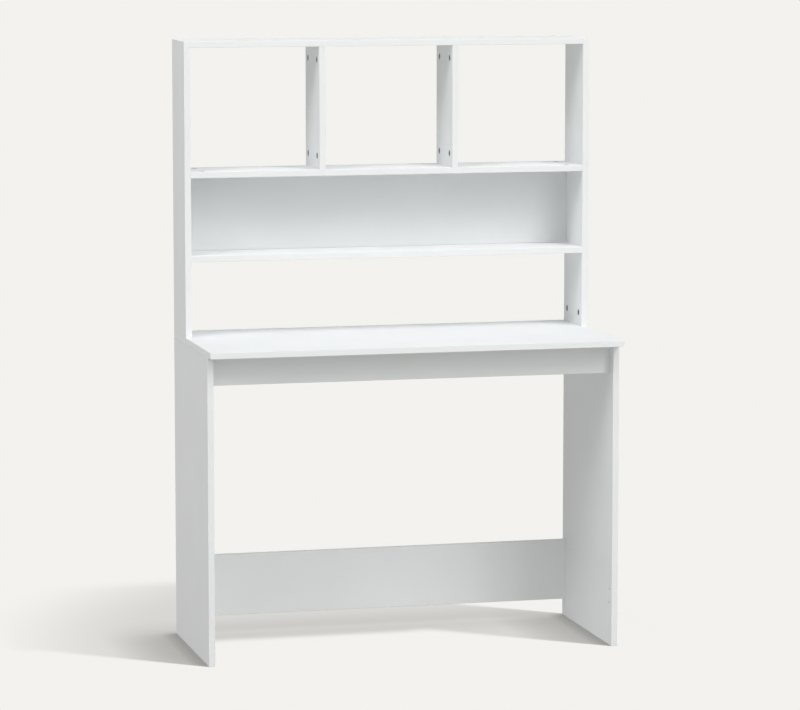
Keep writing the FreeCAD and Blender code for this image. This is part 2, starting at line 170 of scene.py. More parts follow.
add_node(tree, "ShaderNodeOutputWorld", {"Surface": both})
print("world lights at", LIGHT_FROM_ABOVE, "from above and", LIGHT_FROM_BELOW, "from below")

# %% Disc of paper
PAPER_RADIUS, PAPER_SIDES = 30.0, 128
PAPER_THICKNESS = 0.3 * MM

bpy.ops.object.select_all(action="DESELECT")
bpy.ops.mesh.primitive_circle_add(vertices=PAPER_SIDES, radius=PAPER_RADIUS, fill_type="NGON")
paper = bpy.context.object
paper.name = "backdrop_paper"
bpy.ops.object.mode_set(mode="EDIT")
bpy.ops.mesh.extrude_region_move(TRANSFORM_OT_translate={"value": (0, 0, -PAPER_THICKNESS)})
bpy.ops.mesh.select_all(action="SELECT")
bpy.ops.mesh.normals_make_consistent(inside=False)
bpy.ops.object.mode_set(mode="OBJECT")
paper.visible_diffuse = paper.visible_shadow = False
print("paper", 2 * PAPER_RADIUS, "m across and", PAPER_THICKNESS / MM, "mm thick")

# %% Light and shade of the paper
# Painted light and shade: in the lamp's shadow the paper glows at a painted level, and ambient occlusion
# paints shade into the corners at the feet of the boards.
SHADE_LEVEL = 0.75  # share of the background's colour that is left in the lamp's shadow
CORNER_REACH, CORNER_SHARE = 0.19, 0.6  # metres from a board's foot that its corner darkens, and how much
CONTACT_REACH, CONTACT_SHARE = 0.04, 0.4  # the same right along the foot
CORNER_LEAN = (0.8, -0.2, -0.4)  # turns "up" towards the side that the soft light in the shadow comes from
PAPER_LAMP_LEVEL = 20.0  # a face that looks straight at a lamp of level 1 renders at its own colour
PAPER_LAMP_AZIMUTH, PAPER_LAMP_ELEVATION = math.radians(51), math.radians(54)
OTHER_LIGHT = 1.0  # what the softboxes and the world add on the paper, small beside its own lamp

material = bpy.data.materials.new("seamless_backdrop_paper")
material.use_nodes = True
paper.data.materials.append(material)
tree = material.node_tree
tree.nodes.clear()
upwards = add_node(tree, "ShaderNodeNewGeometry").outputs["Normal"]
leaning = add_node(tree, "ShaderNodeVectorMath", {0: upwards, 1: CORNER_LEAN}, operation="ADD")
# Painted shade: ambient occlusion darkens the glow near a board's foot, and most right along it.
corner = add_node(tree, "ShaderNodeAmbientOcclusion", {"Distance": CORNER_REACH, "Normal": leaning})
contact = add_node(tree, "ShaderNodeAmbientOcclusion", {"Distance": CONTACT_REACH, "Normal": leaning})
corner = add_node(tree, "ShaderNodeMapRange",
                  {"Value": corner.outputs["AO"], "To Min": 1 - CORNER_SHARE})
contact = add_node(tree, "ShaderNodeMapRange",
                   {"Value": contact.outputs["AO"], "To Min": 1 - CONTACT_SHARE})
painted_glow = add_node(tree, "ShaderNodeMath", {0: corner, 1: contact}, operation="MULTIPLY")
painted_glow = add_node(tree, "ShaderNodeMath", {0: painted_glow, 1: SHADE_LEVEL}, operation="MULTIPLY")
missing = add_node(tree, "ShaderNodeMath", {0: 1.0, 1: painted_glow}, operation="SUBTRACT")
all_light = OTHER_LIGHT + PAPER_LAMP_LEVEL * math.sin(PAPER_LAMP_ELEVATION)
lit_share = add_node(tree, "ShaderNodeMath", {0: missing, 1: all_light}, operation="DIVIDE")
lit_colour = add_node(tree, "ShaderNodeMix", {"Factor": lit_share, "A": linear("#000000"), "B": BACKDROP},
                      data_type="RGBA")
# The glow is painted light: the paper's own emission stands in for the softboxes and the world.
painted_glow_shader = add_node(tree, "ShaderNodeEmission", {"Color": BACKDROP, "Strength": painted_glow})
lit = add_node(tree, "ShaderNodeBsdfDiffuse", {"Color": lit_colour})
near = add_node(tree, "ShaderNodeAddShader", {0: painted_glow_shader, 1: lit})
print("paper in shadow shows", SHADE_LEVEL, "of the background")

# %% Fade into the background
FADE_START, FADE_END = 0.58, 1.05  # metres from the middle of the desk
FADE_SHAPE = (1.0, 0.78, 0.0)  # the shadow runs out further behind the desk than beside it

# Painted light: away from the desk the paper is painted up to the plain background, so its shadow fades
# out.
place = add_node(tree, "ShaderNodeTexCoord").outputs["Object"]
shaped = add_node(tree, "ShaderNodeVectorMath", {0: place, 1: FADE_SHAPE}, operation="MULTIPLY")
distance = add_node(tree, "ShaderNodeVectorMath", {0: shaped}, operation="LENGTH")
fade = add_node(tree, "ShaderNodeMapRange",
                {"Value": distance, "From Min": FADE_START, "From Max": FADE_END},
                interpolation_type="SMOOTHSTEP")
plain = add_node(tree, "ShaderNodeEmission", {"Color": BACKDROP, "Strength": 1.0})
seen = add_node(tree, "ShaderNodeMixShader", {0: fade, 1: near, 2: plain})
add_node(tree, "ShaderNodeOutputMaterial", {"Surface": seen})
print("shadow fades from", FADE_START, "to", FADE_END, "m")

# %% [markdown]
# ## Lamps
#
# The desk stands in the light of five softboxes, far enough away that it is lit evenly from foot to top.
# The key comes from the right at the front, and a tall strip beside it softens its shadows. The fill comes
# from the left, and a weak one nearer the front evens out the two. With the world they add up to about 1
# on a face that looks up, so a colour renders about as it is written. The fifth stands behind the desk and
# level with it, so that the back is white too and little of its light falls on what the others light. The
# paper's own lamp is a sun whose light is linked to the paper alone, for the crisp shadow on the floor.

# %% Lamps
LAMP_DISTANCE = 12.0
AIM = Vector((0, 0, 0.7))  # near half the height of the desk
PAPER_LAMP_WIDTH = math.radians(4)
SOFTBOXES = [  # azimuth from the front to the right, elevation, width, height (degrees), level, gloss
    ("key_softbox", 40, 45, 16, 30, 0.27, False),
    ("key_strip", 25, 35, 20, 50, 0.32, False),
    ("front_softbox", -35, 40, 30, 40, 0.08, True),
    ("fill_softbox", -58, 48, 20, 30, 0.36, True),
    ("back_softbox", 170, 0, 12, 24, 0.18, False),
]


def direction(azimuth, elevation):
    """The way from the desk to a lamp, from its azimuth and elevation in radians."""
    return Vector((math.sin(azimuth) * math.cos(elevation), -math.cos(azimuth) * math.cos(elevation),
                   math.sin(elevation)))


def add_lamp(name, kind, towards):
    """A lamp that shines on the desk from a direction."""
    lamp = bpy.data.objects.new(name, bpy.data.lights.new(name, kind))
    bpy.context.scene.collection.objects.link(lamp)
    lamp.location = AIM + towards * LAMP_DISTANCE
    lamp.rotation_euler = towards.to_track_quat("Z", "Y").to_euler()
    return lamp


for name, azimuth, elevation, width, height, level, gloss in SOFTBOXES:
    lamp = add_lamp(name, "AREA", direction(math.radians(azimuth), math.radians(elevation)))
    lamp.data.shape = "RECTANGLE"
    lamp.data.size = 2 * LAMP_DISTANCE * math.tan(math.radians(width / 2))
    lamp.data.size_y = 2 * LAMP_DISTANCE * math.tan(math.radians(height / 2))
    lamp.data.energy = level * math.pi ** 2 * LAMP_DISTANCE ** 2  # watts that give the level at the desk
    lamp.visible_camera = False
    lamp.visible_glossy = gloss  # the glare of the strong ones would burn out a desktop seen from behind

only_paper = bpy.data.collections.new("lit_by_the_paper_lamp")
only_paper.objects.link(paper)
paper_lamp = add_lamp("paper_lamp", "SUN", direction(PAPER_LAMP_AZIMUTH, PAPER_LAMP_ELEVATION))
paper_lamp.data.angle = PAPER_LAMP_WIDTH
paper_lamp.data.energy = PAPER_LAMP_LEVEL * math.pi
paper_lamp.light_linking.receiver_collection = only_paper
print(len(SOFTBOXES), "softboxes and a lamp for the paper")

# %% [markdown]
# ## Melamine boards
#
# The boards are particleboard with a sheet of white paper, soaked in melamine resin, pressed hot onto
# each face. It gives a cool white with a satin sheen and the faint orange-peel texture of the press
# plate. The narrow edges are covered by a strip of plastic edging, 0.8 mm thick, a little glossier and
# whiter, with a hair of glue behind it. Only in the drilled holes does the brown particleboard show.
#
# A shader that is the same for every board could not know where a board ends. So each board gets its own
# copy, with its own middle and size, and works out how deep a point lies under each pair of faces. That
# one measure tells edging, glue and raw core apart, and no picture has to be painted.

# %% Parts of a board
EDGING_THICKNESS = 0.8 * MM
GLUE_THICKNESS = 0.12 * MM
CORE_DEPTH = 0.35 * MM  # more than the rounding of an edge takes away


def depth_under_faces(tree, place, board):
    """How far a point of a board lies under its nearest faces: along its edges, and through it."""
    low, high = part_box(board)
    size = high - low
    middle = (low + high) / 2
    from_middle = add_node(tree, "ShaderNodeVectorMath", {0: place, 1: middle}, operation="SUBTRACT")
    distance = add_node(tree, "ShaderNodeVectorMath", {0: from_middle}, operation="ABSOLUTE")
    depth = add_node(tree, "ShaderNodeVectorMath", {0: size / 2, 1: distance}, operation="SUBTRACT")
    split = add_node(tree, "ShaderNodeSeparateXYZ", {0: depth}).outputs
    thin = min(range(3), key=lambda axis: size[axis])
    first, second = (split[axis] for axis in range(3) if axis != thin)
    return add_node(tree, "ShaderNodeMath", {0: first, 1: second}, operation="MINIMUM"), split[thin]


def parts_of_board(tree, place, board):
    """Where there is edging, glue and core, each as a node that gives 0 or 1."""
    from_edge, from_face = depth_under_faces(tree, place, board)
    under_skin = add_node(tree, "ShaderNodeMath", {0: from_edge, 1: from_face}, operation="MINIMUM")
    edging = add_node(tree, "ShaderNodeMath", {0: from_edge, 1: EDGING_THICKNESS}, operation="LESS_THAN")
    glue = add_node(tree, "ShaderNodeMath", {0: from_edge, 1: EDGING_THICKNESS + GLUE_THICKNESS / 2,
                                             2: GLUE_THICKNESS / 2}, operation="COMPARE")
    core = add_node(tree, "ShaderNodeMath", {0: under_skin, 1: CORE_DEPTH}, operation="GREATER_THAN")
    return edging, glue, core


low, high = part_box("desktop")
print("the desktop is", round(min(high - low) / MM, 2), "mm thick, its edging", EDGING_THICKNESS / MM, "mm")

# %% Colour of a board
FACE_WHITES = linear("#EBEDEE"), linear("#F1F3F4")
EDGING_WHITES = linear("#EBEDEE"), linear("#F1F2F3")
GLUE_COLOUR = linear("#B7AE9C")
CHIP_BROWNS = linear("#8E6B45"), linear("#D2B082")
CLOUD_SIZE = 140 * MM  # slight unevenness of the white paper
OCTAVES = 3.0  # finer and finer layers of noise in clouds, mottle and grain


def board_colour(tree, place, chip, edging, glue, core):
    """White on the faces and the edging, a line of glue between them, and brown chips in the holes."""
    clouds = add_node(tree, "ShaderNodeTexNoise",
                      {"Vector": place, "Scale": 1 / CLOUD_SIZE, "Detail": OCTAVES})
    colour, edging_white, chip_brown = (
        add_node(tree, "ShaderNodeMix", {"Factor": share, "A": first, "B": second}, data_type="RGBA")
        for share, (first, second) in ((clouds, FACE_WHITES), (clouds, EDGING_WHITES), (chip, CHIP_BROWNS)))
    for share, other in ((edging, edging_white), (glue, GLUE_COLOUR), (core, chip_brown)):
        colour = add_node(tree, "ShaderNodeMix", {"Factor": share, "A": colour, "B": other},
                          data_type="RGBA")
    return colour


print("whites of the faces, in linear green:", *(round(white[1], 3) for white in FACE_WHITES))

# %% Sheen and texture of a board
PEARL_SIZE = 1.6 * MM
DRAWN_PEARL_SIZE = 9 * MM  # the press texture again, coarse enough to be seen from across a room
PEARL_DEPTH = 0.02 * MM
RIPPLE_LENGTH = 14 * MM  # left along the edging by the trimming cutter
CHIP_RELIEF = 8.0  # times as deep as the press texture
FACE_ROUGHNESS = 0.66, 0.74
EDGING_ROUGHNESS, CORE_ROUGHNESS = 0.55, 0.9
RESIN_IOR = 1.55
RESIN_SPECULAR = 0.25  # half the usual level, because the press texture scatters part of the gloss


def board_texture(tree, place, chip, edging, core):
    """The roughness of a board and its fine relief: pearl on the faces, ripples on the edging, chips."""
    pearl = add_node(tree, "ShaderNodeTexNoise", {"Vector": place, "Scale": 1 / PEARL_SIZE})
    drawn_pearl = add_node(tree, "ShaderNodeTexNoise", {"Vector": place, "Scale": 1 / DRAWN_PEARL_SIZE})
    smoothest, roughest = FACE_ROUGHNESS
    roughness = add_node(tree, "ShaderNodeMix", {"Factor": drawn_pearl, "A": smoothest, "B": roughest})
    roughness = add_node(tree, "ShaderNodeMix", {"Factor": edging, "A": roughness, "B": EDGING_ROUGHNESS})
    roughness = add_node(tree, "ShaderNodeMix", {"Factor": core, "A": roughness, "B": CORE_ROUGHNESS})

    ripples = add_node(tree, "ShaderNodeTexNoise",
                       {"Vector": place, "Scale": 1 / RIPPLE_LENGTH, "Detail": 0.0})
    press_texture = add_node(tree, "ShaderNodeMath", {0: pearl, 1: drawn_pearl}, operation="ADD")
    chip_height = add_node(tree, "ShaderNodeMath", {0: chip, 1: CHIP_RELIEF}, operation="MULTIPLY")
    height = add_node(tree, "ShaderNodeMix", {"Factor": edging, "A": press_texture, "B": ripples})
    height = add_node(tree, "ShaderNodeMix", {"Factor": core, "A": height, "B": chip_height})
    return roughness, add_node(tree, "ShaderNodeBump", {"Height": height, "Distance": PEARL_DEPTH})


print("press texture", PEARL_SIZE / MM, "mm, drawn also at", DRAWN_PEARL_SIZE / MM, "mm")

# %% Face the boards
CHIP_SIZE = 1.8 * MM
HARDWARE_ENDINGS = ("_cam_locks", "_cam_bolts", "_dowels")
BOARDS = [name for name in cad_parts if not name.endswith(HARDWARE_ENDINGS)]


def new_material(name):
    """A new material, as itself, its tree, its shader and the place of a point on the desk."""
    material = bpy.data.materials.new(name)
    material.use_nodes = True
    tree = material.node_tree
    place = add_node(tree, "ShaderNodeTexCoord").outputs["Object"]
    return material, tree, tree.nodes["Principled BSDF"], place


def faced_particleboard(board):
    """Melamine resin paper on the faces, plastic edging on the edges, raw particleboard in the holes."""
    material, tree, shader, place = new_material(f"white_melamine_on_{board}")
    edging, glue, core = parts_of_board(tree, place, board)
    chips = add_node(tree, "ShaderNodeTexVoronoi", {"Vector": place, "Scale": 1 / CHIP_SIZE})
    chip = add_node(tree, "ShaderNodeSeparateColor", {0: chips.outputs["Color"]})
    colour = board_colour(tree, place, chip, edging, glue, core)
    roughness, relief = board_texture(tree, place, chip, edging, core)
    feed(tree, shader, {"Base Color": colour, "Roughness": roughness, "Normal": relief,
                        "IOR": RESIN_IOR, "Specular IOR Level": RESIN_SPECULAR})
    return material


for name in BOARDS:
    finish = faced_particleboard(name)
    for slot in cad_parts[name].material_slots:
        slot.material = finish
print(len(BOARDS), "boards faced with melamine")

# %% [markdown]
# ## Where the hardware sits
#
# Every joint of the desk is drilled to the same pattern. A cam lock lies in the face of one board, 32 mm
# from its end, and holds the head of a bolt that comes out of the other board through that end. Wooden
# dowels beside the bolts keep the boards flush. The table below says, for each board with cam locks, which
# of its ends are joined, which of its faces shows the cams, and how far along the end the bolts and the
# dowels come, in millimetres from its low side. From it, one function works out the place of every piece
# of hardware, so that each kind is modelled once and then set in all of its places.

# %% Table of the joints
LEFT, RIGHT = Vector((-1, 0, 0)), Vector((1, 0, 0))
DOWN, UP = Vector((0, 0, -1)), Vector((0, 0, 1))
BACK = Vector((0, 1, 0))

JOINTS = [  # kit, board, joined ends, face that shows the cams, rows of bolts, rows of dowels
    ("left_leg", "left_leg_panel", (UP,), RIGHT, (60, 350), (92, 318)),
    ("right_leg", "right_leg_panel", (UP,), LEFT, (60, 350), (92, 318)),
    ("apron", "front_apron", (LEFT, RIGHT), BACK, (19,), (51,)),
    ("apron", "front_apron", (UP,), BACK, (235, 735), ()),
    ("stretcher", "rear_stretcher", (LEFT, RIGHT), BACK, (59, 91), ()),
    ("hutch_left", "hutch_left_side", (DOWN,), RIGHT, (27, 123), (75,)),
    ("hutch_right", "hutch_right_side", (DOWN,), LEFT, (27, 123), (75,)),
    ("hutch_top", "hutch_top", (LEFT, RIGHT), DOWN, (27, 123), (75,)),
    ("upper_shelf", "upper_shelf", (LEFT, RIGHT), UP, (27, 123), (75,)),
    ("lower_shelf", "lower_shelf", (LEFT, RIGHT), DOWN, (27, 123), (75,)),
    ("back_panel", "hutch_back_panel", (UP, DOWN), BACK, (155, 815), ()),
    ("left_divider", "left_divider", (UP, DOWN), LEFT, (27, 123), (75,)),
    ("right_divider", "right_divider", (UP, DOWN), LEFT, (27, 123), (75,)),
]
print(sum(len(row[2]) for row in JOINTS), "joined ends in", len(JOINTS), "rows")


# %% Places of the hardware
def seat(board, end, cam_face, row):
    """The place of one piece: X runs into the board from its end, Z comes out of the face with cams."""
    low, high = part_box(board)
    along = Vector([abs(part) for part in end.cross(cam_face)])
    end_middle = (low + high) / 2 + end * abs((high - low).dot(end)) / 2
    origin = end_middle + along * (low.dot(along) + row * MM - end_middle.dot(along))
    turn = Matrix((-end, end.cross(cam_face), cam_face)).transposed()
    return Matrix.Translation(origin) @ turn.to_4x4()


seats = {}  # by the name of the CAD node that holds such pieces
for kit, board, ends, cam_face, bolt_rows, dowel_rows in JOINTS:
    for kind, rows in (("cam_locks", bolt_rows), ("cam_bolts", bolt_rows), ("dowels", dowel_rows)):
        if rows:
            places = [seat(board, end, cam_face, row) for end in ends for row in rows]
            seats.setdefault(f"{kit}_{kind}", []).extend(places)
print(sum(len(places) for places in seats.values()), "pieces of hardware in", len(seats), "kits")

# %% [markdown]
# ## Cam locks
#
# A cam lock is a drum of zinc alloy, die-cast in one shot. It fits a 15 mm hole and has a mouth in its
# side that takes the bolt's head. Its top has a raised rim, a cross for the screwdriver and a small arrow
# that points to the mouth, so the fitter can see which way it is turned.
#
# One drum is modelled from a cylinder. Its top is inset and pushed down inside the rim. The cross, the
# arrow and the mouth are blocks cut out of it. Those of the cross are tapered, because a casting has to
# leave its die. A fine bevel then rounds every edge, as on any casting.

# %% Drum with its rim
DRUM_RADIUS, DRUM_SIDES = 7.35 * MM, 56
DRUM_FLOOR, DRUM_TOP = -5.0 * MM, 7.3 * MM  # from the middle of the board
DRUM_SETBACK = 32 * MM  # end of the board to the middle of the drum
RIM_WIDTH, RIM_HEIGHT = 0.8 * MM, 0.3 * MM
FACING = 0.9  # least part of a unit vector along a direction for it to count as pointing that way


def select_parts(piece, kind, chosen):
    """In edit mode, select exactly the verts, edges or faces for which chosen(part) is true."""
    bpy.ops.mesh.select_mode(type={"verts": "VERT", "edges": "EDGE", "faces": "FACE"}[kind])
    bpy.ops.mesh.select_all(action="DESELECT")
    mesh = bmesh.from_edit_mesh(piece.data)
    for part in getattr(mesh, kind):
        if chosen(part):
            part.select = True
    mesh.select_flush_mode()
    bmesh.update_edit_mesh(piece.data)


bpy.ops.object.select_all(action="DESELECT")
bpy.ops.mesh.primitive_cylinder_add(vertices=DRUM_SIDES, radius=DRUM_RADIUS, depth=DRUM_TOP - DRUM_FLOOR,
                                    location=(DRUM_SETBACK, 0, (DRUM_TOP + DRUM_FLOOR) / 2))
cam = bpy.context.object
cam.name = "cast_cam"
bpy.ops.object.transform_apply(location=True)
bpy.ops.object.mode_set(mode="EDIT")
select_parts(cam, "faces", lambda face: face.normal.z > FACING)
bpy.ops.mesh.inset(thickness=RIM_WIDTH)
bpy.ops.mesh.extrude_region_move(TRANSFORM_OT_translate={"value": (0, 0, -RIM_HEIGHT)})
bpy.ops.object.mode_set(mode="OBJECT")
print("drum", [round(side / MM, 2) for side in cam.dimensions], "mm")

# %% Cross for the screwdriver
CROSS_LENGTH, CROSS_WIDTH, CROSS_DEPTH = 8 * MM, 1.6 * MM, 2.4 * MM
CROSS_TAPER = 0.8


def apply_modifier(piece, kind, **settings):
    """Add a modifier to a piece, with its settings, and apply it at once."""
    bpy.context.view_layer.objects.active = piece
    modifier = piece.modifiers.new(kind.lower(), kind)
    for name, value in settings.items():
        setattr(modifier, name, value)
    bpy.ops.object.modifier_apply(modifier=modifier.name)


def combine(piece, other, operation="DIFFERENCE"):
    """Take another shape out of a piece, or make a UNION of them, and delete the other."""
    apply_modifier(piece, "BOOLEAN", operation=operation, solver="EXACT", object=other)
    bpy.data.meshes.remove(other.data)


def tapered_arm(length, width):
    """One arm of the screwdriver cross as a block to cut with, narrower at its foot."""
    bpy.ops.mesh.primitive_cube_add(size=1, location=(DRUM_SETBACK, 0, DRUM_TOP),
                                    scale=(length, width, 2 * CROSS_DEPTH))
    arm = bpy.context.object
    bpy.ops.object.transform_apply(location=True, scale=True)
    bpy.ops.object.mode_set(mode="EDIT")
    select_parts(arm, "faces", lambda face: face.normal.z < -FACING)
    bpy.ops.transform.resize(value=(CROSS_TAPER, CROSS_TAPER, 1))
    bpy.ops.object.mode_set(mode="OBJECT")
    return arm


combine(cam, tapered_arm(CROSS_LENGTH, CROSS_WIDTH))
combine(cam, tapered_arm(CROSS_WIDTH, CROSS_LENGTH))
print("drum with its cross:", len(cam.data.polygons), "faces")

# %% Arrow, mouth and rounded edges
ARROW_RADIUS, ARROW_DEPTH = 1.0 * MM, 0.25 * MM
ARROW_FROM_MIDDLE = 5.2 * MM
MOUTH_SIZE, MOUTH_REACH = 7.6 * MM, 3 * MM
CASTING_BEVEL, BEVEL_STEPS = 0.12 * MM, 2
SHARP_ANGLE = math.radians(35)  # edges sharper than this are bevelled, and stay sharp in shading


def bevel(piece, width):
    """Round the sharp edges of a piece."""
    apply_modifier(piece, "BEVEL", width=width, segments=BEVEL_STEPS, limit_method="ANGLE",
                   angle_limit=SHARP_ANGLE)


def smooth(piece):
    """Shade a piece smooth, but for its sharp edges."""
    bpy.ops.object.select_all(action="DESELECT")
    piece.select_set(True)
    bpy.ops.object.shade_smooth_by_angle(angle=SHARP_ANGLE)


bpy.ops.mesh.primitive_cylinder_add(vertices=3, radius=ARROW_RADIUS, depth=2 * ARROW_DEPTH,
                                    location=(DRUM_SETBACK - ARROW_FROM_MIDDLE, 0, DRUM_TOP - RIM_HEIGHT),
                                    rotation=(0, 0, math.pi / 2))
combine(cam, bpy.context.object)

bpy.ops.mesh.primitive_cube_add(size=1, location=(DRUM_SETBACK + MOUTH_REACH - DRUM_RADIUS, 0, 0),
                                scale=(2 * DRUM_RADIUS, MOUTH_SIZE, MOUTH_SIZE))
combine(cam, bpy.context.object)
bevel(cam, CASTING_BEVEL)
smooth(cam)
print("finished cam lock:", len(cam.data.polygons), "faces")

# %% [markdown]
# A hole in a board is 0.3 mm wider than its drum, so a cam goes in without force. Each board has its cams
# as one piece, which takes the place of the plainer drums of the CAD model. The print shows how far the
# two differ in place and size.

# %% Set the cam locks in their boards
def set_in_place(pattern, name, places):
    """Copies of a pattern in their places, each with its own mesh, joined as one piece."""
    bpy.ops.object.select_all(action="DESELECT")
    for place in places:
        copy = pattern.copy()
        copy.data = pattern.data.copy()
        copy.data.transform(place)
        bpy.context.scene.collection.objects.link(copy)
        copy.select_set(True)
    bpy.context.view_layer.objects.active = copy
    if len(places) > 1:
        bpy.ops.object.join()
    copy.name = name
    copy.data.name = name
    return copy


def misfit(piece, node):
    """The largest distance, in millimetres, between the boxes of a piece and of a CAD node."""
    corners = [Vector([pick(vertex.co[axis] for vertex in piece.data.vertices) for axis in range(3)])
               for pick in (min, max)]
    return max((corner - wanted).length for corner, wanted in zip(corners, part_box(node))) / MM


def furnish(pattern, kind, new_kind):
    """Set a finished pattern in all its places, as one piece instead of each CAD node of its kind."""
    pieces = {}
    for node in [name for name in seats if name.endswith(kind)]:
        piece = pieces[node] = set_in_place(pattern, node.replace(kind, new_kind), seats[node])
        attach(piece, "root")
        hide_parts(node)
        print(f"{piece.name}: {len(seats[node])}, {misfit(piece, node):.3f} mm off the CAD")
    bpy.data.meshes.remove(pattern.data)
    return pieces


cam_pieces = furnish(cam, "cam_locks", "cast_cams")

# %% [markdown]
# ## Cam bolts
#
# A cam bolt is turned from steel wire. Its coarse thread cuts its own way into the particleboard until the
# collar stops it on the face of the board. The plain shank crosses the joint, and behind a neck comes the
# head that the cam pulls on. A cross in the end of the head takes the screwdriver.
#
# The turned part starts as a filled circle, which is extruded along the bolt and resized wherever the
# profile changes. The Screw modifier could wind a thread, but it leaves open ends. A rod with one raised
# line along it stays closed, and a twist of one turn for each pitch makes the line a thread. Its end is
# extruded and narrowed to a point, and rod and turned part are then made one.

# %% Turned part
BOLT_PROFILE = [  # place along the bolt from the face of the board, and radius, in millimetres
    (0, 3.8), (4, 3.8),  # collar
    (4, 3), (27, 3),  # shank
    (27, 2), (30, 2),  # neck
    (30, 3.5), (33.6, 3.5),  # head
]
BOLT_SIDES = 24
HEAD_CROSS_LENGTH, HEAD_CROSS_WIDTH, HEAD_CROSS_DEPTH = 4.4 * MM, 1 * MM, 1.2 * MM
TURNED_BEVEL = 0.2 * MM


def grow(length, taper=1.0):
    """In edit mode, extrude the selected end of a bar along X, and widen or narrow it."""
    bpy.ops.mesh.extrude_region_move(TRANSFORM_OT_translate={"value": (length, 0, 0)})
    bpy.ops.transform.resize(value=(1, taper, taper), center_override=(0, 0, 0))


bpy.ops.object.select_all(action="DESELECT")
bpy.ops.mesh.primitive_circle_add(vertices=BOLT_SIDES, radius=BOLT_PROFILE[0][1] * MM, fill_type="NGON",
                                  rotation=(0, math.pi / 2, 0))
bolt = bpy.context.object
bolt.name = "turned_bolt"
bpy.ops.object.transform_apply(rotation=True)
bpy.ops.object.mode_set(mode="EDIT")
for (start, radius), (end, next_radius) in zip(BOLT_PROFILE, BOLT_PROFILE[1:]):
    grow((end - start) * MM, next_radius / radius)
bpy.ops.mesh.select_all(action="SELECT")
bpy.ops.mesh.normals_make_consistent(inside=False)
bpy.ops.object.mode_set(mode="OBJECT")

head_end = BOLT_PROFILE[-1][0] * MM
for width, height in ((HEAD_CROSS_LENGTH, HEAD_CROSS_WIDTH), (HEAD_CROSS_WIDTH, HEAD_CROSS_LENGTH)):
    bpy.ops.mesh.primitive_cube_add(size=1, location=(head_end, 0, 0),
                                    scale=(2 * HEAD_CROSS_DEPTH, width, height))
    combine(bolt, bpy.context.object)
bevel(bolt, TURNED_BEVEL)
print("turned part", [round(side / MM, 2) for side in bolt.dimensions], "mm")

# %% Thread
THREAD_END, POINT_LENGTH, POINT_TAPER = -11 * MM, 1 * MM, 0.5
THREAD_RADIUS, THREAD_ROOT, THREAD_PITCH = 2.4 * MM, 1.8 * MM, 2.2 * MM
THREAD_SIDES, RINGS_IN_THREAD = 10, 56
THREAD_IN_COLLAR = 1 * MM
NEARLY = 0.01 * MM

rod_start, rod_end = THREAD_END + POINT_LENGTH, THREAD_IN_COLLAR
bpy.ops.object.select_all(action="DESELECT")
bpy.ops.mesh.primitive_cylinder_add(vertices=THREAD_SIDES, radius=THREAD_ROOT, depth=rod_end - rod_start,
                                    location=((rod_start + rod_end) / 2, 0, 0),
                                    rotation=(0, math.pi / 2, 0))
thread = bpy.context.object
bpy.ops.object.transform_apply(location=True, rotation=True)
bpy.ops.object.mode_set(mode="EDIT")
select_parts(thread, "edges", lambda edge: edge.calc_length() > THREAD_PITCH)
bpy.ops.mesh.subdivide(number_cuts=RINGS_IN_THREAD)
ridge = max(vertex.co.y for vertex in bmesh.from_edit_mesh(thread.data).verts)
select_parts(thread, "verts", lambda vertex: vertex.co.y > ridge - NEARLY)
bpy.ops.transform.translate(value=(0, THREAD_RADIUS - THREAD_ROOT, 0))
bpy.ops.object.mode_set(mode="OBJECT")
apply_modifier(thread, "SIMPLE_DEFORM", deform_method="TWIST", deform_axis="X",
               angle=2 * math.pi * (rod_end - rod_start) / THREAD_PITCH)
bpy.ops.object.mode_set(mode="EDIT")
select_parts(thread, "faces", lambda face: face.calc_center_median().x < rod_start + NEARLY)
grow(-POINT_LENGTH, POINT_TAPER)
bpy.ops.object.mode_set(mode="OBJECT")
combine(bolt, thread, "UNION")
smooth(bolt)
print("finished cam bolt:", len(bolt.data.polygons), "faces")

# %% Set the bolts in their boards
bolt_pieces = furnish(bolt, "cam_bolts", "turned_bolts")

# %% [markdown]
# ## Dowels
#
# A dowel is a peg of beech, 8 mm thick, with chamfered ends so that it finds its hole. Its side is fluted,
# so that air and glue can get past it as it is pushed in. It starts as a cylinder with three sides for
# each flute. Both ends are extruded and narrowed for the chamfers, and then every third line along it is
# drawn in towards the middle.

# %% Fluted dowel
DOWEL_RADIUS, DOWEL_START, DOWEL_END = 3.9 * MM, -10.5 * MM, 19.5 * MM
DOWEL_CHAMFER = 1 * MM
FLUTES, SIDES_PER_FLUTE, FLUTE_DEPTH = 16, 3, 0.35 * MM
DOWEL_SIDES = FLUTES * SIDES_PER_FLUTE


def in_flute(vertex):
    """Whether a vertex is on one of the lines that are drawn in, which is one line in each flute."""
    turns = math.atan2(vertex.co.z, vertex.co.y) / (2 * math.pi)
    return round(turns * DOWEL_SIDES) % SIDES_PER_FLUTE == 1


bpy.ops.object.select_all(action="DESELECT")
bpy.ops.mesh.primitive_cylinder_add(vertices=DOWEL_SIDES, radius=DOWEL_RADIUS,
                                    depth=DOWEL_END - DOWEL_START - 2 * DOWEL_CHAMFER,
                                    location=((DOWEL_START + DOWEL_END) / 2, 0, 0),
                                    rotation=(0, math.pi / 2, 0))
dowel = bpy.context.object
dowel.name = "fluted_dowel"
bpy.ops.object.transform_apply(location=True, rotation=True)
bpy.ops.object.mode_set(mode="EDIT")
for way in (-1, 1):
    select_parts(dowel, "faces", lambda face: face.normal.x * way > FACING)
    grow(way * DOWEL_CHAMFER, 1 - DOWEL_CHAMFER / DOWEL_RADIUS)
select_parts(dowel, "verts", in_flute)
flute_scale = 1 - FLUTE_DEPTH / DOWEL_RADIUS
bpy.ops.transform.resize(value=(1, flute_scale, flute_scale), center_override=(0, 0, 0))
bpy.ops.object.mode_set(mode="OBJECT")
smooth(dowel)
print("finished dowel:", len(dowel.data.polygons), "faces")
dowel_pieces = furnish(dowel, "dowels", "fluted_dowels")

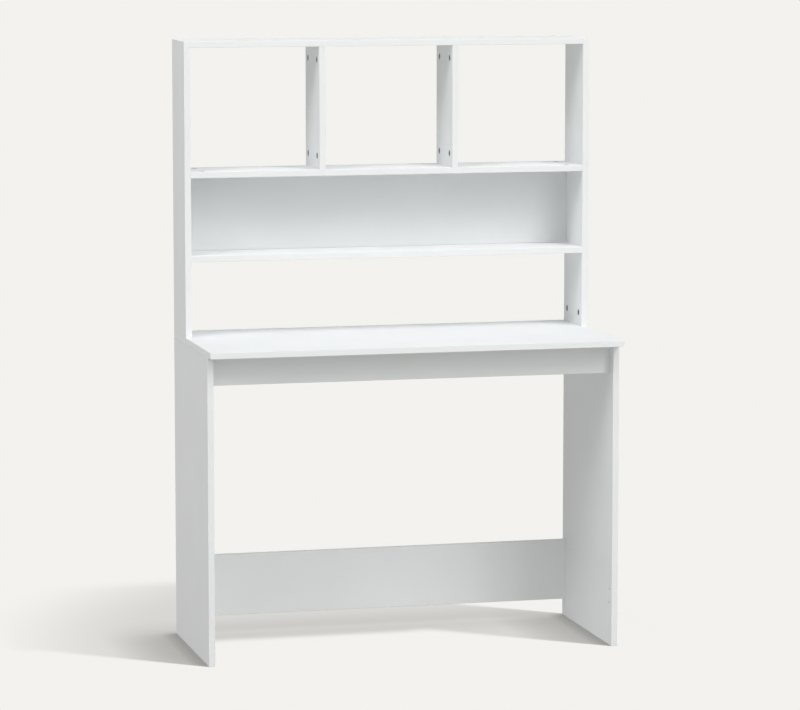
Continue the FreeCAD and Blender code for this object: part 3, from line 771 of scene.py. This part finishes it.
# %% [markdown]
# ## Zinc, steel and beech
#
# The cams are used as they leave the die, so their zinc has dulled to a dark grey with a mottled sheen
# and a fine pitted skin. The bolts are steel with a thin coat of zinc, which is brighter. It was passivated
# in a bath, and this leaves faint clouds that are slightly yellow. The dowels are beech, pale and warm,
# with the short dark flecks that tell beech from other woods. Flecks and grain run along the dowel, so
# there is one beech for the dowels that lie along X and one for those that stand along Z.

# %% Die-cast zinc
ZINC_GREYS = linear("#5C5E60"), linear("#7C7E80")
ZINC_ROUGHNESS = 0.38, 0.55
MOTTLE_SIZE = 2.5 * MM
PIT_SIZE = 0.3 * MM
PIT_DEPTH, PIT_STRENGTH = 0.02 * MM, 0.5


def cover(pieces, material):
    """Give pieces one material all over."""
    for piece in pieces:
        piece.data.materials.clear()
        piece.data.materials.append(material)


zinc, tree, shader, place = new_material("die_cast_zinc")
mottle = add_node(tree, "ShaderNodeTexNoise",
                  {"Vector": place, "Scale": 1 / MOTTLE_SIZE, "Detail": OCTAVES})
grey = add_node(tree, "ShaderNodeMix", {"Factor": mottle, "A": ZINC_GREYS[0], "B": ZINC_GREYS[1]},
                data_type="RGBA")
sheen = add_node(tree, "ShaderNodeMix",
                 {"Factor": mottle, "A": ZINC_ROUGHNESS[0], "B": ZINC_ROUGHNESS[1]})
pits = add_node(tree, "ShaderNodeTexNoise", {"Vector": place, "Scale": 1 / PIT_SIZE})
skin = add_node(tree, "ShaderNodeBump",
                {"Height": pits, "Distance": PIT_DEPTH, "Strength": PIT_STRENGTH})
feed(tree, shader, {"Base Color": grey, "Roughness": sheen, "Normal": skin, "Metallic": 1.0})
cover(cam_pieces.values(), zinc)
print("zinc on", len(cam_pieces), "pieces")

# %% Zinc-plated steel
PLATING_COLOURS = linear("#C5C6C6"), linear("#CBC7B4")
PLATING_ROUGHNESS = 0.25, 0.4
CLOUD_IN_PLATING = 6 * MM
DRAWN_WIRE_SIZE = 0.5 * MM  # fine marks of the die that the wire was drawn through

steel, tree, shader, place = new_material("zinc_plated_steel")
clouds = add_node(tree, "ShaderNodeTexNoise", {"Vector": place, "Scale": 1 / CLOUD_IN_PLATING})
plating = add_node(tree, "ShaderNodeMix",
                   {"Factor": clouds, "A": PLATING_COLOURS[0], "B": PLATING_COLOURS[1]}, data_type="RGBA")
marks = add_node(tree, "ShaderNodeTexNoise", {"Vector": place, "Scale": 1 / DRAWN_WIRE_SIZE})
sheen = add_node(tree, "ShaderNodeMix",
                 {"Factor": marks, "A": PLATING_ROUGHNESS[0], "B": PLATING_ROUGHNESS[1]})
feed(tree, shader, {"Base Color": plating, "Roughness": sheen, "Metallic": 1.0})
cover(bolt_pieces.values(), steel)
print("steel on", len(bolt_pieces), "pieces")

# %% Beech
BEECH_COLOURS = linear("#C79A6B"), linear("#DDB98C")
FLECK_COLOUR = linear("#9A6B45")
GRAIN_WIDTH, GRAIN_STRETCH = 0.6 * MM, 14  # the stretch says how many times longer than wide
FLECK_WIDTH, FLECK_STRETCH = 0.5 * MM, 4
FLECK_CORE, FLECK_EDGE = 0.12, 0.25  # where a fleck starts to fade and where it ends, in fleck widths
FIBRE_DEPTH = 0.05 * MM
BEECH_ROUGHNESS = 0.7


def beech(axis):
    """Beech whose grain runs along X (0) or Z (2)."""
    material, tree, shader, place = new_material(f"beech_along_{'xyz'[axis]}")
    grain_scale, fleck_scale = [1 / GRAIN_WIDTH] * 3, [1 / FLECK_WIDTH] * 3
    grain_scale[axis] /= GRAIN_STRETCH
    fleck_scale[axis] /= FLECK_STRETCH
    grain_place = add_node(tree, "ShaderNodeVectorMath", {0: place, 1: grain_scale}, operation="MULTIPLY")
    fleck_place = add_node(tree, "ShaderNodeVectorMath", {0: place, 1: fleck_scale}, operation="MULTIPLY")
    grain = add_node(tree, "ShaderNodeTexNoise",
                     {"Vector": grain_place, "Scale": 1.0, "Detail": OCTAVES})
    cells = add_node(tree, "ShaderNodeTexVoronoi", {"Vector": fleck_place, "Scale": 1.0})
    fleck = add_node(tree, "ShaderNodeMapRange",
                     {"Value": cells.outputs["Distance"], "From Min": FLECK_CORE, "From Max": FLECK_EDGE,
                      "To Min": 1.0, "To Max": 0.0})
    wood = add_node(tree, "ShaderNodeMix",
                    {"Factor": grain, "A": BEECH_COLOURS[0], "B": BEECH_COLOURS[1]}, data_type="RGBA")
    wood = add_node(tree, "ShaderNodeMix",
                    {"Factor": fleck, "A": wood, "B": FLECK_COLOUR}, data_type="RGBA")
    fibres = add_node(tree, "ShaderNodeBump", {"Height": grain, "Distance": FIBRE_DEPTH})
    feed(tree, shader, {"Base Color": wood, "Roughness": BEECH_ROUGHNESS, "Normal": fibres})
    return material


for axis in (0, 2):
    lying_so = [piece for node, piece in dowel_pieces.items()
                if abs(seats[node][0].col[0][axis]) > FACING]
    cover(lying_so, beech(axis))
    print("beech along", "XYZ"[axis], "on", len(lying_so), "pieces")
